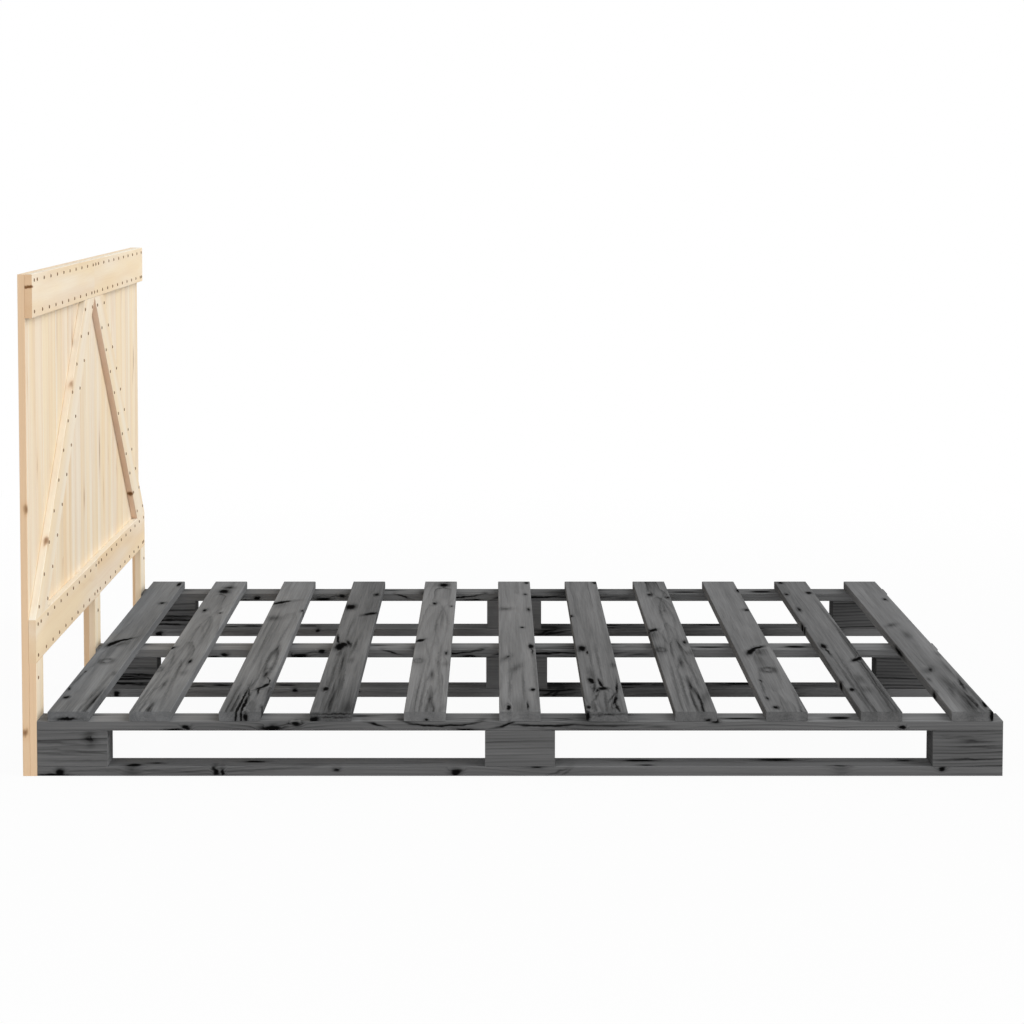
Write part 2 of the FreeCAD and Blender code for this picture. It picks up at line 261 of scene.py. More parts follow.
# Where the heart of the tree lies in the rows, in millimetres. Chance draws it between two values.
STRINGER_HEART_ACROSS = (-25, 5)
STRINGER_HEART_THROUGH = -38
BOTTOM_HEART_ACROSS = (-15, 15)
BOTTOM_HEART_THROUGH = -45
BLOCK_HEART_ACROSS = (-20, 20)
BLOCK_HEART_BELOW = (110, 170)
# Boldness and width of the rings and the tone of the blocks in each row, head end first.
BLOCK_GRAINS = {
    "near": ((0.25, 2.0, 0.71), (0.15, 1.1, 0.65), (0.9, 1.15, 0.57)),
    "middle": ((0.8, 1.3, 0.66), (0.15, 1.1, 0.72), (1.3, 1.3, 0.55)),
    "far": ((0.8, 1.3, 0.66), (0.15, 1.1, 0.79), (1.3, 1.3, 0.55)),
}
# Marks on the edges and ends of the headboard's pieces, in the columns of the slats' edge marks.
BRACE_MARKS = {
    "near": ((152, 46, 5, 11, 8, 5, 0.72), (-325, 46, 4, 10, 9, 5, 0.80)),
    "far": ((-310, 47, 2, 8, 6, 8, 0.95),),
}
PANEL_EDGE_MARKS = {
    "edge_strip_near": ((36, -15, -5, 9, 10, 5, 0.78), (-430, -15, 2, 9, 10, 6, 0.82)),
    "top_rail_near": ((-450, 19, 0, 12, 2.6, 13, 1.0),),
}
# Tones of the headboard's pieces, and how much of the sides' own colour their ends or sides take.
BRACE_TONE = 0.96
RAIL_TONE = 0.92
RAIL_ENDS = {"top": 1.0, "lower": 0.45}
LEG_TONE = 1.04
LEG_SIDES_PAINTED_LIGHTER = {"leg_middle": 0.5, "leg_far": 0.5}  # less of it on the sides, which is painted light where the base shades these legs
PLANK_TONES = (0.86, 1.02)  # least and greatest, drawn by chance
PLANK_WARMTHS = (-0.02, 0.03)  # least and greatest, drawn by chance
PLANK_ENDS = 0.2
EDGE_STRIP_SHADE = 0.06  # how much darker the edge strips are than the planks
HEADBOARD_CALM = 0.5  # strength of the growth rings on rails, braces and legs
RAIL_WARMTHS = {
    "top_rail_near": 0.0, "top_rail_far": 0.01, "lower_rail_near": 0.015, "lower_rail_far": 0.035,
}
# Marks on the wide faces of the planks, in the columns of the slats' marks.
PANEL_MARKS = {
    "plank_02": ((-6, -32, 20, 6, 0, 0, 0.62),),
    "plank_05": ((263, -18, 60, 9, 0, 0, 0.58),),
    "plank_07": ((217, 22, 40, 8, 0, 0, 0.72),),
    "plank_09": ((-155, 4, 24, 8, 0, 0, 0.70),),
    "plank_12": ((-73, -5, 46, 8, 0, 0, 0.72),),
    "plank_13": ((-176, -31, 40, 7, 0, 0, 0.62),),
    "plank_19": ((104, 18, 34, 8, 0, 0, 0.72),),
}

# Knots by chance: the shares of a board that they keep to, then the least and the greatest half length,
# half width, turn and strength, in the units of the tables.
CHANCE_ALONG = 0.46
CHANCE_ACROSS = 0.40
CHANCE_LENGTHS = (10, 30)
CHANCE_WIDTHS = (2, 4)
CHANCE_TURNS = (-4, 4)
CHANCE_STRENGTHS = (0.45, 0.7)

NOISE_SPREAD = 40  # how far chance shifts the start of a noise, in features
# Noise in the wood: how many features there are to the metre along, across and through a board.
RAGGED_NOISE = (36, 96, 96)
SWAY_NOISE = (1.5, 3.0, 3.0)
BAND_NOISE = (1.6, 11, 11)
RIPPLE_NOISE = (6, 60, 60)
FIBRE_NOISE = (7, 330, 330)
CLOUD_NOISE = (1.3, 13, 13)
FLECK_NOISE = (26, 480, 480)
STREAKS_ALONG = 1.1
CLOUD_LEVELS = (0.36, 0.66)  # levels of the noise between which clouds and flecks come up
FLECK_LEVELS = (0.66, 0.78)
MIDDLE_LEVEL = 0.5  # the middle of a noise
MIDDLE_COLOUR = (0.5, 0.5, 0.5)
RAGGED_REACH = (0.024, 0.0075, 0.0075)  # how far, in metres, the edges of marks stray
SWAY_REACH = (0.0, 0.030, 0.050)  # how far, in metres, the grain sways
HEART_SWING = 0.004  # most that the heart swings across a board, in radians
HEART_LEAN = 0.02  # most that it leans out of the face of a board cut by chance, in radians
# Growth rings: places through a ring from its inside to its outside, each with its darkness.
RING_STOPS = ((0.0, 0.0), (0.35, 0.08), (0.72, 0.55), (0.92, 1.0), (1.0, 0.15))
BAND_LEVELS = (0.42, 0.68)  # levels of the noise at which the rings are faint and bold
FAINT_BAND = 0.12  # boldness of the rings in faint and in bold bands
BOLD_BAND = 0.9
FAINT_YEAR = 0.2  # boldness in the faintest year, in plain and in figured grain
FAINT_FIGURED_YEAR = 0.4
RIPPLE_DEPTH = 0.8  # how far the rings ripple, in rings
PARTING_LIFT = 0.010  # how far, in metres, the rings run round a knot
# A mark parts the grain if it is stronger than this, and if all its half sizes, in metres, are larger.
PARTING_STRENGTH = 0.8
PARTING_WIDTH = 0.003
# How far a mark fades out, in its half sizes: a full one, and how much further a faint one.
KNOT_FADE = 3.2
FAINT_FADE = 2.0
KNOT_HEART = 0.92  # the level at which a knot has its full colour
SAWN_LINES = 0.7  # how much of the lines and of the rings is lost on sawn ends
SAWN_RINGS = 0.6
FLECK_DEPTH = 0.10
# Relief of the wood: its depth in metres, its strength, and what rises or dips in shares of the depth.
WOOD_DEPTH = 0.0006
WOOD_RELIEF = 0.35
FIBRE_RISE = 0.6
RING_DIP = 0.5
FLECK_DIP = 0.4
KNOT_DIP = 0.5
FIBRE_GLOSS = 0.2  # how much the fibres change the roughness
# Cosines at which a surface begins to count as facing an axis, and at which it fully does.
END_FACING = (0.6, 0.9)
SIDE_FACING = (0.4, 0.8)

# Worn metal: its noise, the share of colour that worn spots keep, its relief and change of gloss.
METAL_CLOUDS = (160, 160, 160)
METAL_SCRATCHES = (300, 2600, 2600)
METAL_CLOUD_LEVELS = (0.35, 0.65)
METAL_WORN = 0.55
METAL_DEPTH = 0.0002
METAL_RELIEF = 0.2
METAL_GLOSS = 0.3
ZINC = (0.62, 0.63, 0.64, 1.0)
# Dome of a nail's head from its rim: shares of its radius and of its rise.
NAIL_DOME = ((1.0, 0.0), (0.97, 0.35), (0.80, 0.72), (0.50, 0.93), (0.18, 1.0))
NAIL_SEAT = 0.90  # share of the radius that is left at the bottom of the seat
NAIL_SIDES = 14
LAST_NAIL = 0.6  # the low row's last nail, from the far end, as a share of the row's start
# Places of the lamps, which look at the middle of the bed.
KEY_PLACE = Vector((8.0, -2.2, 5.5))
FILL_PLACE = Vector((-5.5, -7.5, 2.5))


class GreyPine(bpy.types.PropertyGroup):
    """Knotty pine under a dark grey stain."""

    label: bpy.props.StringProperty(
        name="Label", description="Name of the finish", default="grey_pine")
    light: bpy.props.FloatVectorProperty(
        name="Early wood", description="Stain on the pale part of the rings",
        subtype="COLOR", size=4, default=(0.320, 0.322, 0.325, 1.0))
    cloud: bpy.props.FloatVectorProperty(
        name="Clouds", description="Stain on the pale wood where it took more colour",
        subtype="COLOR", size=4, default=(0.275, 0.277, 0.280, 1.0))
    dark: bpy.props.FloatVectorProperty(
        name="Late wood", description="Stain on the dark part of the rings",
        subtype="COLOR", size=4, default=(0.010, 0.010, 0.010, 1.0))
    knot: bpy.props.FloatVectorProperty(
        name="Knots", description="Stain on knots and cracks",
        subtype="COLOR", size=4, default=(0.004, 0.004, 0.004, 1.0))
    ring_pitch: bpy.props.FloatProperty(
        name="Ring pitch", description="Distance between growth rings", unit="LENGTH", default=0.0062)
    ring_depth: bpy.props.FloatProperty(
        name="Ring depth", description="How far the late wood darkens", default=0.40)
    fibre_depth: bpy.props.FloatProperty(
        name="Fibre depth", description="Contrast of the fine fibres", default=0.36)
    streak_depth: bpy.props.FloatProperty(
        name="Streak depth", description="Contrast of the broad streaks", default=0.50)
    streak_width: bpy.props.FloatProperty(
        name="Streak width", description="Width of the broad streaks", unit="LENGTH", default=0.030)
    end_depth: bpy.props.FloatProperty(
        name="End depth", description="How much darker the sawn ends are", default=0.0)
    side: bpy.props.FloatVectorProperty(
        name="Sides", description="Stain on the narrow sides and sawn ends",
        subtype="COLOR", size=4, default=(0.206, 0.206, 0.207, 1.0))
    knot_shade: bpy.props.FloatProperty(
        name="Knot shade", description="How far the wood darkens round a knot", default=0.60)
    knot_softness: bpy.props.FloatProperty(
        name="Knot softness", description="How softly a knot fades into the wood", default=0.26)
    roughness: bpy.props.FloatProperty(
        name="Roughness", description="Roughness of the stained wood", subtype="FACTOR", default=0.82)
    gloss: bpy.props.FloatProperty(
        name="Gloss", description="Specular level of the stained wood", subtype="FACTOR", default=0.0)


class NaturalPine(bpy.types.PropertyGroup):
    """Planed pine with no stain."""

    label: bpy.props.StringProperty(
        name="Label", description="Name of the finish", default="natural_pine")
    light: bpy.props.FloatVectorProperty(
        name="Early wood", description="Colour of the pale part of the rings",
        subtype="COLOR", size=4, default=(0.900, 0.795, 0.640, 1.0))
    cloud: bpy.props.FloatVectorProperty(
        name="Clouds", description="Colour of the pale wood where it is yellower",
        subtype="COLOR", size=4, default=(0.890, 0.735, 0.510, 1.0))
    dark: bpy.props.FloatVectorProperty(
        name="Late wood", description="Colour of the dark part of the rings",
        subtype="COLOR", size=4, default=(0.620, 0.350, 0.165, 1.0))
    knot: bpy.props.FloatVectorProperty(
        name="Knots", description="Colour of knots",
        subtype="COLOR", size=4, default=(0.210, 0.098, 0.038, 1.0))
    ring_pitch: bpy.props.FloatProperty(
        name="Ring pitch", description="Distance between growth rings", unit="LENGTH", default=0.0048)
    ring_depth: bpy.props.FloatProperty(
        name="Ring depth", description="How far the late wood darkens", default=0.36)
    fibre_depth: bpy.props.FloatProperty(
        name="Fibre depth", description="Contrast of the fine fibres", default=0.22)
    streak_depth: bpy.props.FloatProperty(
        name="Streak depth", description="Contrast of the broad streaks", default=0.62)
    streak_width: bpy.props.FloatProperty(
        name="Streak width", description="Width of the broad streaks", unit="LENGTH", default=0.052)
    end_depth: bpy.props.FloatProperty(
        name="End depth", description="How much darker the sawn ends are", default=0.17)
    side: bpy.props.FloatVectorProperty(
        name="Sides", description="Colour of the narrow sides and sawn ends",
        subtype="COLOR", size=4, default=(0.835, 0.605, 0.395, 1.0))
    # The far brace's edges, lighter and redder than the sides: painted light, as warm light reflected into
    # their shade.
    painted_bounce_edges: bpy.props.FloatVectorProperty(
        name="Ruddy edges", description="Colour of the edges of the far brace",
        subtype="COLOR", size=4, default=(0.940, 0.720, 0.580, 1.0))
    planed: bpy.props.FloatVectorProperty(
        name="Planed edges", description="Colour of the planed edges of the rails and the near brace",
        subtype="COLOR", size=4, default=(0.885, 0.825, 0.700, 1.0))
    knot_shade: bpy.props.FloatProperty(
        name="Knot shade", description="How far the wood darkens round a knot", default=0.75)
    knot_softness: bpy.props.FloatProperty(
        name="Knot softness", description="How softly a knot fades into the wood", default=0.42)
    roughness: bpy.props.FloatProperty(
        name="Roughness", description="Roughness of the planed wood", subtype="FACTOR", default=0.68)
    gloss: bpy.props.FloatProperty(
        name="Gloss", description="Specular level of the planed wood", subtype="FACTOR", default=0.12)


class NailSizes(bpy.types.PropertyGroup):
    """The nails on the headboard's face."""

    head_radius: bpy.props.FloatProperty(
        name="Head radius", description="Radius of a nail's head", unit="LENGTH", default=0.0039)
    head_rise: bpy.props.FloatProperty(
        name="Head rise", description="How far a head stands proud", unit="LENGTH", default=0.0016)
    seat: bpy.props.FloatProperty(
        name="Seat", description="How deep a head sits in the wood", unit="LENGTH", default=0.001)
    pitch: bpy.props.FloatProperty(
        name="Pitch", description="Distance between nails along a rail", unit="LENGTH", default=0.090)
    edge_reach: bpy.props.FloatProperty(
        name="Edge reach", description="From a rail's edge to its nails", unit="LENGTH", default=0.0125)
    end_reach: bpy.props.FloatProperty(
        name="End reach", description="From a rail's outer end to its first nails", unit="LENGTH",
        default=0.028)
    low_start: bpy.props.FloatProperty(
        name="Low row start", description="From the near end to the lower row", unit="LENGTH", default=0.0405)
    high_start: bpy.props.FloatProperty(
        name="High row start", description="From the near end to the upper row", unit="LENGTH", default=0.066)
    brace_pairs: bpy.props.IntProperty(
        name="Brace pairs", description="Pairs of nails along a brace", default=11)
    brace_reach: bpy.props.FloatProperty(
        name="Brace reach", description="From a brace's edges to its nails", unit="LENGTH", default=0.018)
    brace_margin: bpy.props.FloatProperty(
        name="Brace margin", description="From a brace's end to its nails", unit="LENGTH", default=0.021)
    leg_height: bpy.props.FloatProperty(
        name="Leg nail height", description="Height of the nail on each leg", unit="LENGTH", default=0.202)
    leg_reach: bpy.props.FloatProperty(
        name="Leg reach", description="From an outer leg's edge to its nail", unit="LENGTH", default=0.024)
    colour: bpy.props.FloatVectorProperty(
        name="Nail colour", description="Colour of the nails' heads",
        subtype="COLOR", size=4, default=(0.270, 0.165, 0.095, 1.0))


class StudioSettings(bpy.types.PropertyGroup):
    """Camera, lamps and floor."""

    eye: bpy.props.FloatVectorProperty(
        name="Eye", description="Place of the camera", subtype="TRANSLATION", unit="LENGTH",
        default=(-0.0385, -6.6247, 1.2699))
    pitch: bpy.props.FloatProperty(
        name="Pitch", description="How far the camera looks down", subtype="ANGLE",
        default=math.radians(4.01))
    lens: bpy.props.FloatProperty(
        name="Lens", description="Focal length in millimetres", default=98.38)
    shift: bpy.props.FloatVectorProperty(
        name="Shift", description="Shift of the lens", size=2, default=(0.0174, -0.1504))
    key_strength: bpy.props.FloatProperty(
        name="Key lamp", description="Strength of the main lamp, beyond the foot of the bed", default=1.76)
    fill_strength: bpy.props.FloatProperty(
        name="Fill lamp", description="Strength of the lamp in front of the head end", default=0.5)
    softness: bpy.props.FloatProperty(
        name="Softness", description="Angle that each lamp fills", subtype="ANGLE",
        default=math.radians(52))
    ambient: bpy.props.FloatProperty(
        name="Ambient", description="Strength of the light from all round", default=0.6)
    floor_colour: bpy.props.FloatVectorProperty(
        name="Floor", description="Colour of the floor", subtype="COLOR", size=4,
        default=(0.70, 0.70, 0.70, 1.0))
    floor_glow: bpy.props.FloatProperty(
        name="Floor glow", description="How much of the floor shows as plain white", subtype="FACTOR",
        default=0.95)


class PalletBed(bpy.types.PropertyGroup):
    """Everything that a user would change on this bed."""

    grey_pine: bpy.props.PointerProperty(type=GreyPine)
    natural_pine: bpy.props.PointerProperty(type=NaturalPine)
    nails: bpy.props.PointerProperty(type=NailSizes)
    studio: bpy.props.PointerProperty(type=StudioSettings)


class Field:
    """A socket in a node tree, with the operators that shader maths needs."""

    def __init__(self, nodes, socket):
        self.nodes = nodes
        self.socket = socket

    def maths(self, operation, first, second=0.0):
        """A Math node on two values."""
        return self.nodes.add("ShaderNodeMath", {"operation": operation}, {0: first, 1: second})

    def __add__(self, other):
        return self.maths("ADD", self, other)

    __radd__ = __add__

    def __sub__(self, other):
        return self.maths("SUBTRACT", self, other)

    def __rsub__(self, other):
        return self.maths("SUBTRACT", other, self)

    def __mul__(self, other):
        return self.maths("MULTIPLY", self, other)

    __rmul__ = __mul__

    def __truediv__(self, other):
        return self.maths("DIVIDE", self, other)

    def __abs__(self):
        return self.maths("ABSOLUTE", self)

    def __floor__(self):
        return self.maths("FLOOR", self)

    def larger(self, other):
        """The larger of two values."""
        return self.maths("MAXIMUM", self, other)


class Nodes:
    """Adds nodes to a tree, one call for each."""

    def __init__(self, owner):
        owner.use_nodes = True
        self.tree = owner.node_tree
        self.tree.nodes.clear()

    def add(self, kind, settings, sockets, output=0):
        """A node of this kind: its settings come first, then the values or links of its sockets."""
        made = self.tree.nodes.new(kind)
        for name, value in settings.items():
            if name == "stops":
                self.fill_ramp(made.color_ramp.elements, value)
            else:
                setattr(made, name, value)
        for name, value in sockets.items():
            if isinstance(value, Field):
                self.tree.links.new(value.socket, made.inputs[name])
            else:
                made.inputs[name].default_value = value
        return Field(self, made.outputs[output] if made.outputs else None)

    @staticmethod
    def fill_ramp(elements, stops):
        """Sets a ramp's stops from pairs of place and grey level."""
        while len(elements) < len(stops):
            elements.new(1.0)
        for element, (place, level) in zip(elements, stops):
            element.position = place
            element.color = (level, level, level, 1.0)

    def vector(self, operation, *values, output=0):
        """A Vector Math node."""
        return self.add(
            "ShaderNodeVectorMath", {"operation": operation}, dict(enumerate(values)), output)

    def length(self, place):
        """The length of a vector."""
        return self.vector("LENGTH", place, output="Value")

    def smooth(self, value, low, high, at_low, at_high):
        """A smooth step from at_low to at_high, as value goes from low to high."""
        return self.add(
            "ShaderNodeMapRange", {"interpolation_type": "SMOOTHSTEP"},
            {"Value": value, "From Min": low, "From Max": high, "To Min": at_low, "To Max": at_high})

    def mix(self, factor, first, second):
        """A mix of two colours."""
        return self.add(
            "ShaderNodeMix", {"data_type": "RGBA"}, {0: factor, 6: first, 7: second}, 2)

    def local(self, place, middle, turn, size=(1.0, 1.0, 1.0)):
        """The place in a frame with this middle, turn and unit size."""
        return self.add(
            "ShaderNodeMapping", {"vector_type": "TEXTURE"},
            {"Vector": place, "Location": middle, "Rotation": turn, "Scale": size})

    def noise(self, place, stretch, luck, detail, output="Fac"):
        """Noise with its own number of features to the metre along each axis."""
        start = [luck.uniform(-NOISE_SPREAD, NOISE_SPREAD) for axis in range(3)]
        spot = self.vector("MULTIPLY_ADD", place, stretch, start)
        return self.add(
            "ShaderNodeTexNoise", {}, {"Vector": spot, "Scale": 1.0, "Detail": detail}, output)


class Board:
    """A CAD node as a length of timber: the axes of its grain, its middle and its sizes."""

    def __init__(self, name, along, across):
        self.name = name
        self.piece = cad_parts[name]
        self.axes = Matrix((along, across, along.cross(across)))
        places = [self.axes @ vertex.co for vertex in self.piece.data.vertices]
        low = Vector([min(place[axis] for place in places) for axis in range(3)])
        high = Vector([max(place[axis] for place in places) for axis in range(3)])
        self.size = high - low
        self.along = along
        self.across = across
        self.middle = self.axes.transposed() @ ((low + high) / 2)

    def turn(self, tilt=0.0, swing=0.0):
        """The turn of the grain's axes, tilted out of the face and swung across it."""
        lean = Matrix.Rotation(tilt, 3, "Y") @ Matrix.Rotation(swing, 3, "Z")
        return (self.axes.transposed() @ lean).to_euler()

    def spot(self, place):
        """A place beside the board's middle, from its reach along, across and through the board."""
        return self.middle + self.axes.transposed() @ place

    def finish(self, material):
        """Gives the board its material."""
        slots = self.piece.data.materials
        slots.clear()
        slots.append(material)


@dataclass
class Mark:
    """A knot, a crack or a line in the grain, in metres from the middle of its board."""

    middle: Vector
    reach: Vector  # half sizes
    turn: tuple
    strength: float
    bend: Vector = Vector((0, 0, 0))  # how far both ends bend away, in half sizes
    rim: float = 0.0  # thickness of a knot that shows as a ring, in half sizes

    def parts_the_grain(self):
        """Whether the growth rings run round this mark."""
        strong = self.strength > PARTING_STRENGTH and min(self.reach) > PARTING_WIDTH
        return strong and self.rim == 0

    def is_line(self):
        """Whether this is a faint mark that goes right through its board."""
        return self.reach.z == ENDLESS and not self.parts_the_grain()

    def is_spot(self):
        """Whether this is a faint mark on one face."""
        return self.reach.z < ENDLESS and not self.parts_the_grain()


@dataclass
class Cut:
    """How a board was cut from its tree, and how its grain shows."""

    heart: tuple  # along, across and through, in millimetres from the board's middle
    lean: float = 0.0  # slope of the heart out of the board's face
    coarse: float = 1.0  # width of the growth rings, in the finish's own
    calm: float = 1.0  # strength of the growth rings
    sway: float = 1.0  # how far the grain wanders


def chance_cut(luck, spread, nearest, furthest, calm=1.0, side=1):
    """A cut with its heart where chance has it, so far across and so far out on one side."""
    across = luck.uniform(-spread, spread)
    through = side * luck.uniform(nearest, furthest)
    return Cut((0, across, through), luck.uniform(-HEART_LEAN, HEART_LEAN), calm=calm)


def shifted(rows, shift):
    """The same marks or figures, moved along and across their board."""
    return [(along + shift[0], across + shift[1], *rest) for along, across, *rest in rows]


def face_marks(rows):
    """Marks on a wide face, right through the board."""
    return [
        Mark(
            Vector((along, across, 0)) * MM,
            Vector((length * MM, width * MM, ENDLESS)),
            (0, 0, math.radians(turn)),
            strength,
            Vector((0, bend / width, 0)),
        )
        for along, across, length, width, turn, bend, strength in rows
    ]


def ring_marks(rows):
    """Knots on a wide face that show as a ring."""
    return [
        Mark(
            Vector((along, across, 0)) * MM,
            Vector((length * MM, width * MM, ENDLESS)),
            (0, 0, 0),
            strength,
            rim=rim,
        )
        for along, across, length, width, rim, strength in rows
    ]


def front_marks(board, rows):
    """Marks on the front of a board in a row."""
    depth = board.size.y / 3
    return [
        Mark(
            Vector((along * MM, -board.size.y / 2, up * MM)),
            Vector((length * MM, depth, height * MM)),
            (0, -math.radians(turn), 0),
            strength,
            Vector((0, 0, bend / height)),
        )
        for along, up, length, height, turn, bend, strength in rows
    ]


def edge_marks(rows):
    """Marks on an end or a side."""
    return [
        Mark(
            Vector((along, across, through)) * MM,
            Vector((length, width, depth)) * MM,
            (0, 0, 0),
            strength,
        )
        for along, across, through, length, width, depth, strength in rows
    ]


def chance_marks(board, luck, most):
    """A few knots where chance has them."""
    rows = []
    for number in range(luck.randint(0, most)):
        rows.append((
            luck.uniform(-CHANCE_ALONG, CHANCE_ALONG) * board.size.x / MM,
            luck.uniform(-CHANCE_ACROSS, CHANCE_ACROSS) * board.size.y / MM,
            luck.uniform(*CHANCE_LENGTHS),
            luck.uniform(*CHANCE_WIDTHS),
            luck.uniform(*CHANCE_TURNS),
            0,
            luck.uniform(*CHANCE_STRENGTHS),
        ))
    return face_marks(rows)


def knot_field(nodes, place, marks):
    """How near the marks are: the strength at a mark's heart, falling to nothing round it."""
    field = None
    for mark in marks:
        spot = nodes.local(place, mark.middle, mark.turn, mark.reach)
        if mark.bend.length:
            run = nodes.vector("DOT_PRODUCT", spot, ALONG_X, output="Value")
            spot = nodes.vector("MULTIPLY_ADD", run * run, -mark.bend, spot)
        distance = nodes.length(spot)
        if mark.rim:
            distance = abs(distance - 1.0) / mark.rim
        fade = KNOT_FADE + FAINT_FADE * (1.0 - mark.strength)
        near = nodes.smooth(distance, 0.0, fade, mark.strength, 0.0)
        field = near if field is None else field.larger(near)
    return field


def figure_fields(nodes, place, figures):
    """The lift of the rings, in metres, their extra boldness and the darkness, from the figure."""
    lift = 0.0
    bold = 0.0
    dark = 0.0
    for along, across, length, width, rise, boldness, darkness in figures:
        middle = Vector((along, across, 0)) * MM
        reach = Vector((length * MM, width * MM, ENDLESS))
        spot = nodes.local(place, middle, (0, 0, 0), reach)
        near = nodes.smooth(nodes.length(spot), 0.0, 1.0, 1.0, 0.0)
        lift = near * (rise * MM) + lift
        bold = near * boldness + bold
        dark = near * darkness + dark
    return lift, bold, dark


def warmed(colour, warmth):
    """A colour with less green and blue."""
    red, green, blue, alpha = colour
    return (red, green * (1 - warmth), blue * (1 - 2 * warmth), alpha)


def facing(nodes, normal, axis, low, high):
    """Goes from 0 to 1 as the surface turns to face along an axis."""
    level = abs(nodes.vector("DOT_PRODUCT", normal, axis, output="Value"))
    return nodes.smooth(level, low, high, 0.0, 1.0)


def ragged_place(nodes, local, luck):
    """The place on a board, strayed a little, so that the edges of marks come out ragged."""
    ragged = nodes.noise(local, RAGGED_NOISE, luck, detail=3.0, output="Color")
    centred = nodes.vector("SUBTRACT", ragged, MIDDLE_COLOUR)
    return nodes.vector("MULTIPLY_ADD", centred, RAGGED_REACH, local)


def knot_fields(nodes, place, marks, sawn):
    """How near the marks that part the grain are, and how near any marks are, or None for none."""
    parting = knot_field(nodes, place, [mark for mark in marks if mark.parts_the_grain()])
    lines = knot_field(nodes, place, [mark for mark in marks if mark.is_line()])
    spots = knot_field(nodes, place, [mark for mark in marks if mark.is_spot()])
    if lines:
        lines = lines * (1.0 - sawn * SAWN_LINES)
    knots = None
    for field in (parting, lines, spots):
        if field:
            knots = knots.larger(field) if knots else field
    return parting, knots


def heart_distance(nodes, board, cut, place, local, luck):
    """How far a place is from the heart of the tree, in metres, where the grain sways a little."""
    middle = board.spot(Vector(cut.heart) * MM)
    turn = board.turn(cut.lean, luck.uniform(-HEART_SWING, HEART_SWING))
    from_heart = nodes.local(place, middle, turn, (ENDLESS, 1.0, 1.0))
    sway = nodes.noise(local, SWAY_NOISE, luck, detail=1.0, output="Color")
    centred = nodes.vector("SUBTRACT", sway, MIDDLE_COLOUR)
    reach = [axis * cut.sway for axis in SWAY_REACH]
    return nodes.length(nodes.vector("MULTIPLY_ADD", centred, reach, from_heart))


def ring_boldness(nodes, local, luck):
    """How bold the growth rings are, in faint and bold bands along the board."""
    bands = nodes.noise(local, BAND_NOISE, luck, detail=1.0)
    return nodes.smooth(bands, *BAND_LEVELS, FAINT_BAND, BOLD_BAND)


def growth_rings(nodes, look, cut, radius, boldness, extra, local, luck):
    """Darkness of the late wood in the growth rings, which differ from year to year."""
    ripple = nodes.noise(local, RIPPLE_NOISE, luck, detail=2.0)
    phase = radius / (look.ring_pitch * cut.coarse) + (ripple - MIDDLE_LEVEL) * RIPPLE_DEPTH
    number = math.floor(phase)
    late = nodes.add("ShaderNodeValToRGB", {"stops": RING_STOPS}, {"Fac": phase - number})
    year = nodes.add("ShaderNodeTexWhiteNoise", {"noise_dimensions": "1D"}, {"W": number})
    plain = FAINT_YEAR + (1 - FAINT_YEAR) * year * year
    figured = FAINT_FIGURED_YEAR + (1 - FAINT_FIGURED_YEAR) * year
    return late * (plain * boldness * cut.calm + figured * extra)


def pine(board, look, tone, cut, marks=(), figures=(), warmth=0.0, sides=1.0, ends=1.0, flank=None):
    """A length of pine: growth rings round a heart beside the board, fibres, knots and sawn ends."""
    luck = random.Random(board.name)
    material = bpy.data.materials.new(f"{board.name}_{look.label}")
    nodes = Nodes(material)
    place = nodes.add("ShaderNodeTexCoord", {}, {}, "Object")
    local = nodes.local(place, board.middle, board.turn())
    normal = nodes.add("ShaderNodeNewGeometry", {}, {}, "Normal")
    sawn = facing(nodes, normal, board.along, *END_FACING)
    side = facing(nodes, normal, board.across, *SIDE_FACING)
    parting, knots = knot_fields(nodes, ragged_place(nodes, local, luck), marks, sawn)
    radius = heart_distance(nodes, board, cut, place, local, luck)
    boldness = ring_boldness(nodes, local, luck)
    lift, extra, dark = figure_fields(nodes, local, figures)
    if figures:
        radius = radius + lift
    if parting:
        radius = radius + parting * PARTING_LIFT
    rings = growth_rings(nodes, look, cut, radius, boldness, extra, local, luck)
    rings = rings * (1.0 - sawn * SAWN_RINGS)

    fibre = nodes.noise(local, FIBRE_NOISE, luck, detail=3.0)
    streak_count = 1 / look.streak_width
    streak = nodes.noise(local, (STREAKS_ALONG, streak_count, streak_count), luck, detail=2.0)
    clouds = nodes.noise(local, CLOUD_NOISE, luck, detail=2.0)
    cloud = nodes.smooth(clouds, *CLOUD_LEVELS, 0.0, 1.0)
    flecks = nodes.noise(local, FLECK_NOISE, luck, detail=1.0)
    fleck = nodes.smooth(flecks, *FLECK_LEVELS, 0.0, 1.0)

    shade = tone - dark - rings * look.ring_depth + (fibre - MIDDLE_LEVEL) * look.fibre_depth
    shade = shade + (streak - MIDDLE_LEVEL) * look.streak_depth - sawn * (look.end_depth * ends)
    shade = shade - fleck * FLECK_DEPTH
    height = fibre * FIBRE_RISE - rings * RING_DIP - fleck * FLECK_DIP
    if knots:
        shade = shade - knots * knots * look.knot_shade
    pale = nodes.mix(cloud, warmed(look.light, warmth), warmed(look.cloud, warmth))
    flanks = nodes.mix(side * sides, pale, flank or look.side)
    colour = nodes.mix(shade, look.dark, nodes.mix(sawn * ends, flanks, look.side))
    if knots:
        core = nodes.smooth(knots, KNOT_HEART - look.knot_softness, KNOT_HEART, 0.0, 1.0)
        colour = nodes.mix(core, colour, look.knot)
        height = height - core * KNOT_DIP
    bump = nodes.add(
        "ShaderNodeBump", {}, {"Strength": WOOD_RELIEF, "Distance": WOOD_DEPTH, "Height": height})
    surface = nodes.add(
        "ShaderNodeBsdfPrincipled", {},
        {
            "Base Color": colour,
            "Roughness": look.roughness + (fibre - MIDDLE_LEVEL) * FIBRE_GLOSS,
            "Normal": bump,
            "Specular IOR Level": look.gloss,
        })
    nodes.add("ShaderNodeOutputMaterial", {}, {"Surface": surface})
    board.finish(material)


